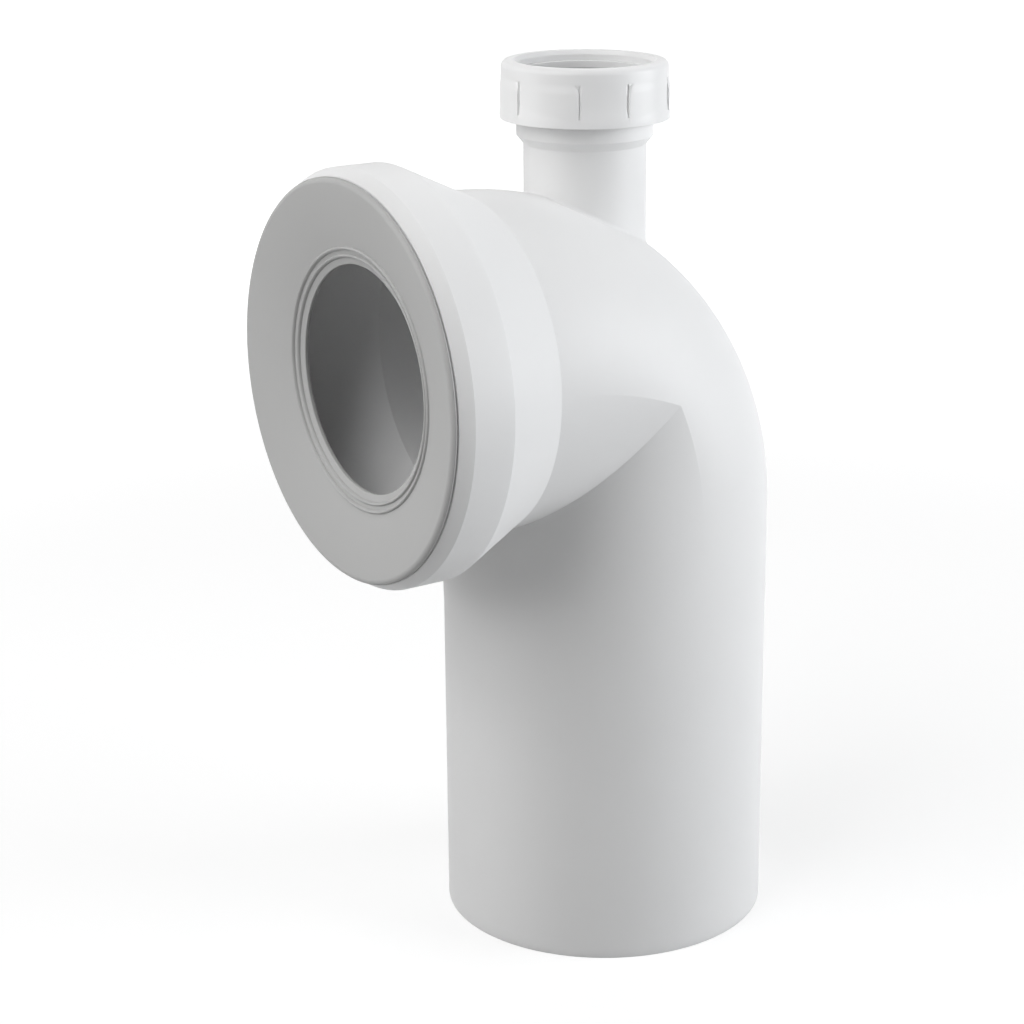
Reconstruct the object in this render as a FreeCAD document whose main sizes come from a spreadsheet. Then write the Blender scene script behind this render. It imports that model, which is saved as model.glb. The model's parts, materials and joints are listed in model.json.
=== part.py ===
import FreeCAD, Part
import math
import os
import Sketcher

# Toilet pan connector: a 90 degree bend for a 110 mm soil pipe, with a grey rubber seal for the
# pan's outlet in its bell, and a 40 mm waste branch on top that is closed by a compression nut.
#
# Frame: Z is up, along the axis of the drain spigot, and Z = 0 is the spigot's open end. The bell
# faces -Y, with its axis at the height InletHeight. X runs across, and the moulding is the same on
# both sides of X = 0. Sizes are in millimetres. "Reach" means the distance along the bell's axis
# from the spigot's axis, so a reach of 60 is at Y = -60.

SIZES = (
    # Drain pipe and bend
    ("SpigotRadius", 55.0, "outside radius of the spigot, the stretch that a drain socket takes"),
    ("SpigotLength", 110.0, "length of the spigot"),
    ("SpigotEase", 5.0, "length of the slope from the spigot to the pipe"),
    ("PipeGrowth", 0.15, "how much the pipe above stands proud of the spigot, in radius"),
    ("PipeWall", 3.0, "wall of the pipe and of the bend"),
    ("InletHeight", 200.0, "height of the bell's axis above the spigot's end"),
    ("BendRadius", 55.0, "radius of the bend's centre line"),
    ("BendEase", 0.05, "how far the bend's swept skin stands outside the pipes where it meets them"),
    # Bell
    ("ThroatLand", 0.6, "straight pipe between the bend and the bell's cone"),
    ("BellConeLength", 24.7, "length of the cone from the pipe to the bell"),
    ("BellRadius", 66.7, "outside radius of the bell"),
    ("BellBandLength", 13.85, "length of the bell's straight band"),
    ("BellChamferLength", 4.1, "length of the slope from the band to the rim"),
    ("RimDrop", 2.5, "fall in radius over that slope"),
    ("BellWall", 3.0, "wall of the bell's band"),
    ("KeeperLength", 4.2, "length of the inturned lip that keeps the pan seal in"),
    ("KeeperDepth", 2.5, "how far that lip stands in from the band's inside"),
    # Pan seal
    ("SealGap", 0.5, "gap between the rim and the seal's flange"),
    ("SealInset", 0.2, "how far the seal's flange stays inside the rim, in radius"),
    ("SealFlange", 2.05, "thickness of the seal's flange at its edge"),
    ("SealEdge", 1.1, "bevel of the flange's front edge"),
    ("SealDish", 5.9, "depth of the dished face"),
    ("FaceInner", 42.2, "inside radius of the plain dished face"),
    ("BeadStep", 2.3, "distance in radius from one raised bead to the next"),
    ("BeadHeight", 0.4, "height and width of each bead's outer slope"),
    ("BeadFall", 0.7, "fall of each bead below the one outside it"),
    ("OpeningRadius", 36.4, "radius of the seal's opening"),
    ("OpeningFall", 1.4, "fall from the last bead to the opening"),
    ("OpeningLand", 1.4, "thickness of the lip at the opening"),
    ("DishThickness", 2.2, "thickness of the dished face at the sleeve"),
    ("SeatPlay", 0.25, "play of the seal in the bell, all round"),
    ("SnapLength", 3.4, "length of the bead that snaps behind the keeper lip"),
    ("SleeveWall", 3.0, "wall of the seal's sleeve"),
    ("SleeveLength", 10.0, "length of the sleeve behind the keeper lip"),
    # Waste branch
    ("BranchOffset", 8.1, "reach of the branch's axis"),
    ("BranchRadius", 20.0, "outside radius of the branch's neck"),
    ("BranchWall", 2.8, "wall of the branch's neck"),
    ("NeckTop", 66.7, "height of the neck's top above the bell's axis"),
    ("CollarSlope", 2.7, "height of the slope from the neck to the collar"),
    ("CollarRadius", 22.2, "radius of the collar, which is the core of the thread"),
    ("SocketTop", 86.1, "height of the branch's rim above the bell's axis"),
    ("SocketRadius", 20.4, "radius of the socket for the 40 mm waste pipe"),
    ("SocketStop", 0.6, "height of the pipe's stop above the collar's slope"),
    ("MouthRadius", 21.7, "radius of the socket's mouth"),
    ("MouthDepth", 5.0, "depth of the mouth's cone"),
    # Branch seal and slip washer
    ("RingBore", 20.3, "radius of the branch seal's bore"),
    ("RingFlange", 2.0, "thickness of the branch seal's flange"),
    ("RingRadius", 23.0, "outside radius of that flange"),
    ("RingNose", 3.6, "depth of the seal's nose in the socket's mouth"),
    ("RingPlay", 0.1, "play of that nose in the mouth"),
    ("WasherThickness", 2.0, "thickness of the slip washer"),
    ("WasherRadius", 23.4, "outside radius of the slip washer"),
    ("WasherBore", 20.6, "radius of the slip washer's hole"),
    # Branch nut
    ("NutRadius", 27.0, "radius of the nut's plain body"),
    ("NutHeight", 18.5, "height of the nut"),
    ("NutLip", 3.3, "thickness of the nut's inturned lip"),
    ("NutOpening", 22.0, "radius of the hole in the lip"),
    ("OpeningSlope", 1.0, "width of the slope round that hole"),
    ("OpeningDepth", 1.4, "depth of the slope round that hole"),
    ("NutRound", 2.0, "rounding of the nut's top edge"),
    ("ThreadRoot", 24.05, "radius at the root of the nut's thread"),
    ("ThreadLead", 0.7, "slope at the mouth of the thread"),
    ("SkirtHeight", 3.0, "height of the plain ring at the nut's foot"),
    ("GripHeight", 0.5, "how far the ring and the grips stand proud"),
    ("GripTop", 13.8, "height of the grips' tops"),
    ("GripSlope", 2.0, "height of the slope at a grip's top, from its step back to the nut's body"),
    ("GripFirst", 17.5, "angle from the nut's front line to the first grip's step"),
    ("GripPitch", 46.5, "angle from that step to the next"),
    ("NutTurn", -22.0, "angle of the nut's front line from the X axis"),
)


# Radii, and points on the bell's axis and on the branch's, built up from the sizes
PIPE_RADIUS = "(Sizes.SpigotRadius + Sizes.PipeGrowth)"
BORE_RADIUS = f"({PIPE_RADIUS} - Sizes.PipeWall)"
CONE_START = "(Sizes.BendRadius + Sizes.ThroatLand)"
BAND_START = f"({CONE_START} + Sizes.BellConeLength)"
BAND_END = f"({BAND_START} + Sizes.BellBandLength)"
RIM = f"({BAND_END} + Sizes.BellChamferLength)"
RIM_RADIUS = "(Sizes.BellRadius - Sizes.RimDrop)"
KEEPER = f"({RIM} - Sizes.KeeperLength)"
FLANGE = f"({RIM} + Sizes.SealGap)"
BAND = "(Sizes.BellRadius - Sizes.BellWall)"
KEEPER_RADIUS = f"({BAND} - Sizes.KeeperDepth)"
SEAL_RADIUS = f"({RIM_RADIUS} - Sizes.SealInset)"
COLLAR = "(Sizes.NeckTop + Sizes.CollarSlope)"
NUT_SEAT = "(Sizes.SocketTop + Sizes.RingFlange + Sizes.WasherThickness)"

# How far the cores of the moulding run past its open ends
TOOL_MARGIN = 5


def make_sizes(doc):
    """Write the driving dimensions into the document's spreadsheet."""
    sheet = doc.addObject("Spreadsheet::Sheet", "Sizes")
    for row, (alias, value, meaning) in enumerate(SIZES, start=1):
        sheet.set(f"A{row}", alias)
        sheet.set(f"B{row}", str(value))
        sheet.set(f"C{row}", meaning)
        sheet.setAlias(f"B{row}", alias)
    doc.recompute()
    return sheet


def origin_plane(body, role):
    """Return one of a body's own origin planes."""
    return next(item for item in body.Origin.OriginFeatures if item.Role == role)


def new_sketch(body, name, role, **shifts):
    """Attach a sketch to an origin plane. A shift is an expression along the sketch's own x, y or z."""
    sketch = body.newObject("Sketcher::SketchObject", name)
    sketch.AttachmentSupport = (origin_plane(body, role), [""])
    sketch.MapMode = "FlatFace"
    for direction, expression in shifts.items():
        sketch.setExpression(f".AttachmentOffset.Base.{direction}", expression)
    return sketch


def bind(sketch, kind, *target, size):
    """Add a dimension to a sketch and bind it to an expression."""
    number = sketch.addConstraint(Sketcher.Constraint(kind, *target, 1.0))
    sketch.setExpression(f"Constraints[{number}]", size)


def pin_point(sketch, edge, end, across, along):
    """Fix one end of an edge by its two distances from the sketch's origin."""
    bind(sketch, "DistanceX", -1, 1, edge, end, size=across)
    bind(sketch, "DistanceY", -1, 1, edge, end, size=along)


def outline(sketch, corners):
    """Draw a closed outline of straight lines. Each corner is a pair of expressions."""
    count = len(corners)
    turn = 2 * math.pi / count
    rough = [FreeCAD.Vector(math.cos(turn * i), math.sin(turn * i), 0) for i in range(count)]
    for i in range(count):
        sketch.addGeometry(Part.LineSegment(rough[i], rough[(i + 1) % count]))
    for i, (across, along) in enumerate(corners):
        sketch.addConstraint(Sketcher.Constraint("Coincident", i, 2, (i + 1) % count, 1))
        pin_point(sketch, i, 1, across, along)
    return sketch


def bell_sketch(body, name, corners):
    """Draw a section of a ring round the bell's axis. Each corner is a reach and a radius."""
    sketch = new_sketch(body, name, "YZ_Plane", y="Sizes.InletHeight")
    return outline(sketch, [(f"-({reach})", radius) for reach, radius in corners])


def branch_sketch(body, name, corners):
    """Draw a section of a ring round the branch's axis. Each corner is a radius and a height
    above the bell's axis."""
    sketch = new_sketch(body, name, "YZ_Plane", x="-Sizes.BranchOffset", y="Sizes.InletHeight")
    return outline(sketch, corners)


def revolve(body, name, sketch, axis):
    """Turn a section once round one of its sketch's axes."""
    feature = body.newObject("PartDesign::Revolution", name)
    feature.Profile = sketch
    feature.ReferenceAxis = (sketch, [axis])
    feature.Angle = 360
    return feature


def swept_bend(body, radius, foot):
    """Make the bent pipe: two straight pipes that meet at a mitre, with the outside of the mitre
    cut back to the skin of a swept bend. The throat keeps the sharp crease of the mitre."""
    far_end = f"-({CONE_START} + Sizes.BellConeLength / 2)"
    spine = new_sketch(body, "Spine", "YZ_Plane")
    spine.addGeometry(Part.LineSegment(FreeCAD.Vector(0, 0, 0), FreeCAD.Vector(0, 1, 0)))
    spine.addGeometry(Part.LineSegment(FreeCAD.Vector(0, 1, 0), FreeCAD.Vector(-1, 1, 0)))
    spine.addConstraint(Sketcher.Constraint("Coincident", 0, 2, 1, 1))
    pin_point(spine, 0, 1, "0", foot)
    pin_point(spine, 1, 1, "0", "Sizes.InletHeight")
    pin_point(spine, 1, 2, far_end, "Sizes.InletHeight")

    ring = new_sketch(body, "Ring", "XY_Plane", z=foot)
    ring.addGeometry(Part.Circle(FreeCAD.Vector(0, 0, 0), FreeCAD.Vector(0, 0, 1), 1))
    ring.addConstraint(Sketcher.Constraint("Coincident", 0, 3, -1, 1))
    bind(ring, "Radius", 0, size=radius)

    pipe = body.newObject("PartDesign::AdditivePipe", "MitredPipe")
    pipe.Profile = ring
    pipe.Spine = (spine, ["Edge1", "Edge2"])
    pipe.Transition = "Right corner"

    skin = f"({radius} + Sizes.BendEase)"
    centre = "Sizes.BendRadius"
    waste = new_sketch(
        body, "BendSkin", "XZ_Plane", y="Sizes.InletHeight - Sizes.BendRadius", z="Sizes.BendRadius"
    )
    start = FreeCAD.Vector(1, 0, 0)
    right = FreeCAD.Vector(2, 0, 0)
    top_right = FreeCAD.Vector(2, 2, 0)
    top_left = FreeCAD.Vector(-2, 2, 0)
    left = FreeCAD.Vector(-2, 0, 0)
    arch = Part.Circle(FreeCAD.Vector(0, 0, 0), FreeCAD.Vector(0, 0, 1), 1)
    waste.addGeometry(Part.ArcOfCircle(arch, 0, math.pi))
    waste.addGeometry(Part.LineSegment(-start, left))
    waste.addGeometry(Part.LineSegment(left, top_left))
    waste.addGeometry(Part.LineSegment(top_left, top_right))
    waste.addGeometry(Part.LineSegment(top_right, right))
    waste.addGeometry(Part.LineSegment(right, start))
    for edge in range(1, 5):
        waste.addConstraint(Sketcher.Constraint("Coincident", edge, 2, edge + 1, 1))
    waste.addConstraint(Sketcher.Constraint("Coincident", 0, 2, 1, 1))
    waste.addConstraint(Sketcher.Constraint("Coincident", 5, 2, 0, 1))
    pin_point(waste, 0, 3, "0", centre)
    bind(waste, "Radius", 0, size=skin)
    bind(waste, "DistanceY", -1, 1, 0, 1, size=centre)
    bind(waste, "DistanceY", -1, 1, 0, 2, size=centre)
    pin_point(waste, 2, 1, f"-2 * {skin}", centre)
    pin_point(waste, 3, 1, f"-2 * {skin}", f"{centre} + 2 * {skin}")
    pin_point(waste, 4, 1, f"2 * {skin}", f"{centre} + 2 * {skin}")
    pin_point(waste, 5, 1, f"2 * {skin}", centre)

    bend = body.newObject("PartDesign::Groove", "RoundedBack")
    bend.Profile = waste
    bend.ReferenceAxis = (waste, ["H_Axis"])
    bend.Angle = 90
    bend.Reversed = True
    return bend


def make_outside(doc):
    """The outside of the moulding, solid inside."""
    body = doc.addObject("PartDesign::Body", "Outside")
    spigot_top = "(Sizes.SpigotLength + Sizes.SpigotEase)"
    swept_bend(body, PIPE_RADIUS, spigot_top)
    spigot = [
        ("0", "0"),
        ("Sizes.SpigotRadius", "0"),
        ("Sizes.SpigotRadius", "Sizes.SpigotLength"),
        (PIPE_RADIUS, spigot_top),
        ("0", spigot_top),
    ]
    revolve(body, "Spigot", outline(new_sketch(body, "SpigotSection", "XZ_Plane"), spigot), "V_Axis")
    cone_slope = f"((Sizes.BellRadius - {PIPE_RADIUS}) / Sizes.BellConeLength)"
    bell = [
        (f"{CONE_START} - Sizes.PipeWall", "0"),
        (
            f"{CONE_START} - Sizes.PipeWall",
            f"{PIPE_RADIUS} - Sizes.PipeWall * {cone_slope}",
        ),
        (BAND_START, "Sizes.BellRadius"),
        (BAND_END, "Sizes.BellRadius"),
        (RIM, RIM_RADIUS),
        (RIM, "0"),
    ]
    revolve(body, "Bell", bell_sketch(body, "BellOutside", bell), "H_Axis")
    branch = [
        ("0", "0"),
        ("Sizes.BranchRadius", "0"),
        ("Sizes.BranchRadius", "Sizes.NeckTop"),
        ("Sizes.CollarRadius", COLLAR),
        ("Sizes.CollarRadius", "Sizes.SocketTop"),
        ("0", "Sizes.SocketTop"),
    ]
    revolve(body, "Branch", branch_sketch(body, "BranchOutside", branch), "V_Axis")
    return body


def make_inside(doc):
    """The hollow of the moulding, as the solid that the moulding's cores fill."""
    body = doc.addObject("PartDesign::Body", "Inside")
    swept_bend(body, BORE_RADIUS, f"-{TOOL_MARGIN}")
    half_slope = f"(atan((Sizes.BellRadius - {PIPE_RADIUS}) / Sizes.BellConeLength) / 2)"
    cone = f"({CONE_START} + Sizes.PipeWall * tan({half_slope}))"
    bell = [
        (cone, "0"),
        (cone, BORE_RADIUS),
        (f"{cone} + Sizes.BellConeLength", BAND),
        (KEEPER, BAND),
        (KEEPER, KEEPER_RADIUS),
        (f"{RIM} + {TOOL_MARGIN}", KEEPER_RADIUS),
        (f"{RIM} + {TOOL_MARGIN}", "0"),
    ]
    revolve(body, "BellHollow", bell_sketch(body, "BellInside", bell), "H_Axis")
    branch = [
        ("0", "0"),
        ("Sizes.BranchRadius - Sizes.BranchWall", "0"),
        ("Sizes.BranchRadius - Sizes.BranchWall", f"{COLLAR} + Sizes.SocketStop"),
        ("Sizes.SocketRadius", f"{COLLAR} + Sizes.SocketStop"),
        ("Sizes.SocketRadius", "Sizes.SocketTop - Sizes.MouthDepth"),
        ("Sizes.MouthRadius", "Sizes.SocketTop"),
        ("Sizes.MouthRadius", f"Sizes.SocketTop + {TOOL_MARGIN}"),
        ("0", f"Sizes.SocketTop + {TOOL_MARGIN}"),
    ]
    revolve(body, "BranchHollow", branch_sketch(body, "BranchInside", branch), "V_Axis")
    return body


def make_connector_body(doc):
    """The white moulding: drain spigot, bend, bell and waste branch in one piece."""
    moulding = doc.addObject("Part::Cut", "ConnectorBody")
    moulding.Base = make_outside(doc)
    moulding.Tool = make_inside(doc)
    moulding.Label = "connector_body"
    return moulding


def make_pan_seal(doc):
    """The grey rubber seal: a flange in front of the rim, a dished face with two raised beads
    round its opening, and a sleeve that snaps behind the keeper lip."""
    body = doc.addObject("PartDesign::Body", "PanSeal")
    body.Label = "pan_seal"
    neck = f"({KEEPER_RADIUS} - Sizes.SeatPlay)"
    sleeve = f"({neck} - Sizes.SleeveWall)"
    front = f"({FLANGE} + Sizes.SealFlange)"
    slope = f"(Sizes.SealDish / ({SEAL_RADIUS} - Sizes.FaceInner))"
    foot = f"({front} - Sizes.SealDish)"
    second_foot = f"({foot} - Sizes.BeadFall)"
    second_radius = "(Sizes.FaceInner - Sizes.BeadStep)"
    mouth = f"({second_foot} + Sizes.BeadHeight - Sizes.OpeningFall)"
    behind_face = f"({front} - {slope} * ({SEAL_RADIUS} - {sleeve}) - Sizes.DishThickness)"
    sleeve_end = f"({KEEPER} - Sizes.SleeveLength)"
    section = [
        (FLANGE, neck),
        (FLANGE, SEAL_RADIUS),
        (f"{front} - Sizes.SealEdge", SEAL_RADIUS),
        (front, f"{SEAL_RADIUS} - Sizes.SealEdge"),
        (foot, "Sizes.FaceInner"),
        (f"{foot} + Sizes.BeadHeight", "Sizes.FaceInner - Sizes.BeadHeight"),
        (second_foot, second_radius),
        (f"{second_foot} + Sizes.BeadHeight", f"{second_radius} - Sizes.BeadHeight"),
        (mouth, "Sizes.OpeningRadius"),
        (f"{mouth} - Sizes.OpeningLand", "Sizes.OpeningRadius"),
        (behind_face, sleeve),
        (sleeve_end, sleeve),
        (sleeve_end, neck),
        (f"{KEEPER} - Sizes.SnapLength", neck),
        (f"{KEEPER} - Sizes.SnapLength", f"{BAND} - Sizes.SeatPlay"),
        (KEEPER, f"{BAND} - Sizes.SeatPlay"),
        (KEEPER, neck),
    ]
    revolve(body, "SealRing", bell_sketch(body, "SealSection", section), "H_Axis")
    return body


def make_branch_seal(doc):
    """The rubber ring that the nut squeezes between the socket's mouth and the waste pipe."""
    body = doc.addObject("PartDesign::Body", "BranchSeal")
    body.Label = "branch_seal"
    fall = "((Sizes.MouthRadius - Sizes.SocketRadius) / Sizes.MouthDepth)"
    section = [
        ("Sizes.RingBore", "Sizes.SocketTop - Sizes.RingNose"),
        (
            f"Sizes.MouthRadius - {fall} * Sizes.RingNose - Sizes.RingPlay",
            "Sizes.SocketTop - Sizes.RingNose",
        ),
        ("Sizes.MouthRadius - Sizes.RingPlay", "Sizes.SocketTop"),
        ("Sizes.RingRadius", "Sizes.SocketTop"),
        ("Sizes.RingRadius", "Sizes.SocketTop + Sizes.RingFlange"),
        ("Sizes.RingBore", "Sizes.SocketTop + Sizes.RingFlange"),
    ]
    revolve(body, "RingSeal", branch_sketch(body, "RingSection", section), "V_Axis")
    return body


def make_slip_washer(doc):
    """The plain washer that lets the nut turn without dragging the seal round."""
    body = doc.addObject("PartDesign::Body", "SlipWasher")
    body.Label = "slip_washer"
    foot = "Sizes.SocketTop + Sizes.RingFlange"
    section = [
        ("Sizes.WasherBore", foot),
        ("Sizes.WasherRadius", foot),
        ("Sizes.WasherRadius", NUT_SEAT),
        ("Sizes.WasherBore", NUT_SEAT),
    ]
    revolve(body, "Washer", branch_sketch(body, "WasherSection", section), "V_Axis")
    return body


def grip_sketch(body, name, first, last, end_radius):
    """Draw one grip, seen from above, between two angles from the nut's front line. It stands
    proud at the first angle and runs out towards the last."""
    sketch = new_sketch(body, name, "XY_Plane", z="Sizes.SkirtHeight")
    proud = "(Sizes.NutRadius + Sizes.GripHeight)"
    buried = "(Sizes.NutRadius - Sizes.GripHeight)"
    corners = ((buried, first), (proud, first), (end_radius, last), (buried, last))
    for start, end in ((0, 1), (2, 3), (3, 0)):
        line = Part.LineSegment(FreeCAD.Vector(start, 1, 0), FreeCAD.Vector(end, 2, 0))
        edge = sketch.addGeometry(line)
        for point, (radius, angle) in ((1, corners[start]), (2, corners[end])):
            pin_point(sketch, edge, point, f"{radius} * cos({angle})", f"{radius} * sin({angle})")
    sketch.Document.recompute()

    step_top = sketch.getPoint(0, 2)
    step_foot = sketch.getPoint(1, 1)
    crown = step_top + step_foot
    crown.Length = (step_top.Length + step_foot.Length) / 2
    sketch.addGeometry(Part.Arc(step_top, crown, step_foot))
    sketch.addConstraint(Sketcher.Constraint("Coincident", 0, 2, 3, 1))
    sketch.addConstraint(Sketcher.Constraint("Coincident", 3, 2, 1, 1))
    radius = sketch.addConstraint(Sketcher.Constraint("Radius", 3, sketch.Geometry[3].Radius))
    sketch.setExpression(f"Constraints[{radius}]", "Sizes.NutRadius")
    return sketch


def raise_grip(body, name, sketch):
    """Pad a grip's outline up to the height of the grips' tops."""
    pad = body.newObject("PartDesign::Pad", name)
    pad.Profile = sketch
    pad.setExpression("Length", "Sizes.GripTop - Sizes.SkirtHeight")
    return pad


def mirror_both_ways(body, name, originals):
    """Repeat features on both sides of the nut's front line and of its parting line."""
    repeat = body.newObject("PartDesign::MultiTransform", name)
    repeat.Originals = originals
    mirrors = []
    for role in ("XZ_Plane", "YZ_Plane"):
        mirror = body.newObject("PartDesign::Mirrored", f"{name}{role[:2]}")
        mirror.MirrorPlane = (origin_plane(body, role), [""])
        mirrors.append(mirror)
    repeat.Transformations = mirrors
    body.Tip = repeat
    return repeat


def make_branch_nut(doc):
    """The white compression nut, with stepped grips that all face along the mould's draw."""
    body = doc.addObject("PartDesign::Body", "BranchNut")
    body.Label = "branch_nut"
    underside = "(Sizes.NutHeight - Sizes.NutLip)"
    section = [
        ("Sizes.ThreadRoot + Sizes.ThreadLead", "0"),
        ("Sizes.NutRadius + Sizes.GripHeight", "0"),
        ("Sizes.NutRadius + Sizes.GripHeight", "Sizes.SkirtHeight"),
        ("Sizes.NutRadius", "Sizes.SkirtHeight"),
        ("Sizes.NutRadius", "Sizes.NutHeight"),
        ("Sizes.NutOpening + Sizes.OpeningSlope", "Sizes.NutHeight"),
        ("Sizes.NutOpening", "Sizes.NutHeight - Sizes.OpeningDepth"),
        ("Sizes.NutOpening", underside),
        ("Sizes.ThreadRoot", underside),
        ("Sizes.ThreadRoot", "Sizes.ThreadLead"),
    ]
    nut_section = outline(new_sketch(body, "NutSection", "XZ_Plane"), section)
    shell = revolve(body, "NutShell", nut_section, "V_Axis")
    doc.recompute()
    top_edge = [
        name
        for name, circle in circles_of(shell.Shape)
        if abs(circle.Center.z - size_of("NutHeight")) < 0.001
        and abs(circle.Radius - size_of("NutRadius")) < 0.001
    ]
    round_edges(body, shell, "NutTopRound", "Sizes.NutRound", top_edge)

    second = "(Sizes.GripFirst + Sizes.GripPitch)"
    share = f"((90 - {second}) / Sizes.GripPitch)"
    at_parting = f"(Sizes.NutRadius + Sizes.GripHeight * (1 - {share}))"
    long_plan = grip_sketch(body, "LongGripPlan", "Sizes.GripFirst", second, "Sizes.NutRadius")
    long_grip = raise_grip(body, "LongGrip", long_plan)
    short_plan = grip_sketch(body, "ShortGripPlan", second, "90", at_parting)
    short_grip = raise_grip(body, "ShortGrip", short_plan)
    mirror_both_ways(body, "Grips", [long_grip, short_grip])

    outer = "(Sizes.NutRadius + 2 * Sizes.GripHeight)"
    slope = [
        ("Sizes.NutRadius", "Sizes.GripTop"),
        (outer, "Sizes.GripTop - 2 * Sizes.GripSlope"),
        (outer, "Sizes.GripTop + Sizes.GripHeight"),
        ("Sizes.NutRadius", "Sizes.GripTop + Sizes.GripHeight"),
    ]
    tops = body.newObject("PartDesign::Groove", "GripTops")
    tops.Profile = outline(new_sketch(body, "GripTopSection", "XZ_Plane"), slope)
    tops.ReferenceAxis = (tops.Profile[0], ["V_Axis"])
    tops.Angle = 360

    seat = f"vector(0; -Sizes.BranchOffset; Sizes.InletHeight + {NUT_SEAT} - {underside})"
    turn = "rotation(vector(0; 0; 1); Sizes.NutTurn)"
    body.setExpression("Placement", f"placement({seat}; {turn})")
    return body


def size_of(alias):
    """Return a driving dimension by its alias."""
    return next(value for name, value, meaning in SIZES if name == alias)


def circles_of(shape):
    """Return the name and the curve of each circular edge of a shape."""
    return [
        (f"Edge{number}", edge.Curve)
        for number, edge in enumerate(shape.Edges, start=1)
        if edge.Curve.TypeId == "Part::GeomCircle"
    ]


def round_edges(body, base, name, radius, edges):
    """Round edges of a feature, with the radius bound to an expression."""
    rounded = body.newObject("PartDesign::Fillet", name)
    rounded.Base = (base, edges)
    rounded.setExpression("Radius", radius)
    body.Tip = rounded
    return rounded


def check_objects(doc):
    """Stop if any object in the document failed to rebuild."""
    for item in doc.Objects:
        if "Invalid" in item.State or "Error" in item.State:
            raise RuntimeError(f"{item.Name} did not rebuild: {item.State}")


def write_part(item):
    """Check one sub-part's shape and write it as STEP."""
    shape = item.Shape
    if shape.isNull() or not shape.isValid() or len(shape.Solids) != 1:
        raise RuntimeError(f"{item.Label} is not one valid solid")
    shape.exportStep(f"parts/{item.Label}.step")
    box = shape.BoundBox
    print(
        f"{item.Label}: {len(shape.Solids)} solid, {len(shape.Faces)} faces, "
        f"volume {shape.Volume:.0f} mm3, "
        f"x {box.XMin:.2f}..{box.XMax:.2f}, y {box.YMin:.2f}..{box.YMax:.2f}, "
        f"z {box.ZMin:.2f}..{box.ZMax:.2f}"
    )


def build():
    """Build the document and write its sub-parts."""
    doc = FreeCAD.newDocument("ToiletPanConnector")
    make_sizes(doc)
    makers = (
        make_connector_body,
        make_pan_seal,
        make_branch_nut,
        make_slip_washer,
        make_branch_seal,
    )
    parts = [make(doc) for make in makers]
    doc.recompute()
    check_objects(doc)
    os.makedirs("parts", exist_ok=True)
    for item in parts:
        write_part(item)


build()
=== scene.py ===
import json
import math

import bmesh
import bpy
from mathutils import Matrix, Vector
from mathutils.kdtree import KDTree

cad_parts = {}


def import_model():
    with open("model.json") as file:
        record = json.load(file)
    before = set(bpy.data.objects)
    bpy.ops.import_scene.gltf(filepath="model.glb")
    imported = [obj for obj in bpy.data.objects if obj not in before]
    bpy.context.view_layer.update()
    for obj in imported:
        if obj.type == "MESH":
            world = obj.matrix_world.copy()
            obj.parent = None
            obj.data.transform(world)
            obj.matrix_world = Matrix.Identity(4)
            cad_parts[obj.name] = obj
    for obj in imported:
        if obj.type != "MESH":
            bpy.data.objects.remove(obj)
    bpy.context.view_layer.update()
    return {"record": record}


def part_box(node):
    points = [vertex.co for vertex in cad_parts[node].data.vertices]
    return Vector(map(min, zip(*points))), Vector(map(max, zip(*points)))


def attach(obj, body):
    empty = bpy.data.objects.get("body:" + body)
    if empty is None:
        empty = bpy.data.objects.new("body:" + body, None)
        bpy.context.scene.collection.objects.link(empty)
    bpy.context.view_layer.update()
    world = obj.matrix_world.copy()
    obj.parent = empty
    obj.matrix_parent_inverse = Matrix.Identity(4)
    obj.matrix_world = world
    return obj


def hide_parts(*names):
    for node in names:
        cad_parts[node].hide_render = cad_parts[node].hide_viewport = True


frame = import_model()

# The looks of a toilet pan connector: a white moulded bend with a bell, a grey rubber seal in the
# bell, and a waste branch with a compression nut. Lengths are in metres, in the frame of the CAD
# model: Z up the drain spigot's axis, -Y out of the bell. "Reach" is the distance along -Y from
# the spigot's axis. MM turns a size in millimetres into metres. Angles are in degrees.

MM = 0.001
MOUNTS = {mount["name"]: mount for mount in frame["record"]["mounts"]}

# Sizes read from the frame
INLET_HEIGHT = MOUNTS["pan_inlet"]["pos_m"][2]
SPIGOT_RADIUS = MOUNTS["drain_spigot"]["dims"]["r_mm"] * MM
SPIGOT_LENGTH = MOUNTS["drain_spigot"]["dims"]["length_mm"] * MM
OPENING_RADIUS = MOUNTS["pan_inlet"]["dims"]["r_mm"] * MM
SOCKET_RADIUS = MOUNTS["branch_socket"]["dims"]["r_mm"] * MM
BRANCH_Y = MOUNTS["branch_socket"]["pos_m"][1]
BODY_LOW, BODY_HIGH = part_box("connector_body")
SEAL_LOW, SEAL_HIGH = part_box("pan_seal")
NUT_LOW, NUT_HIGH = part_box("branch_nut")
WASHER_LOW, WASHER_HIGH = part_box("slip_washer")
RING_LOW, RING_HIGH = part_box("branch_seal")

# Pipe and bend
SPIGOT_EASE = 5.0 * MM
PIPE_RADIUS = SPIGOT_RADIUS + 0.15 * MM
WALL = 3.0 * MM
BORE_RADIUS = PIPE_RADIUS - WALL
BEND_RADIUS = 55.0 * MM
THROAT_LAND = 0.6 * MM
BEND_HEIGHT = INLET_HEIGHT - BEND_RADIUS

# Bell
RIM_REACH = -BODY_LOW.y
BELL_RADIUS = BODY_HIGH.x
RIM_RADIUS = 64.2 * MM
CHAMFER_LENGTH = 4.1 * MM
BAND_LENGTH = 13.85 * MM
CONE_SHIFT = 0.66 * MM
KEEPER_LENGTH = 4.2 * MM
KEEPER_RADIUS = 61.2 * MM

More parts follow.
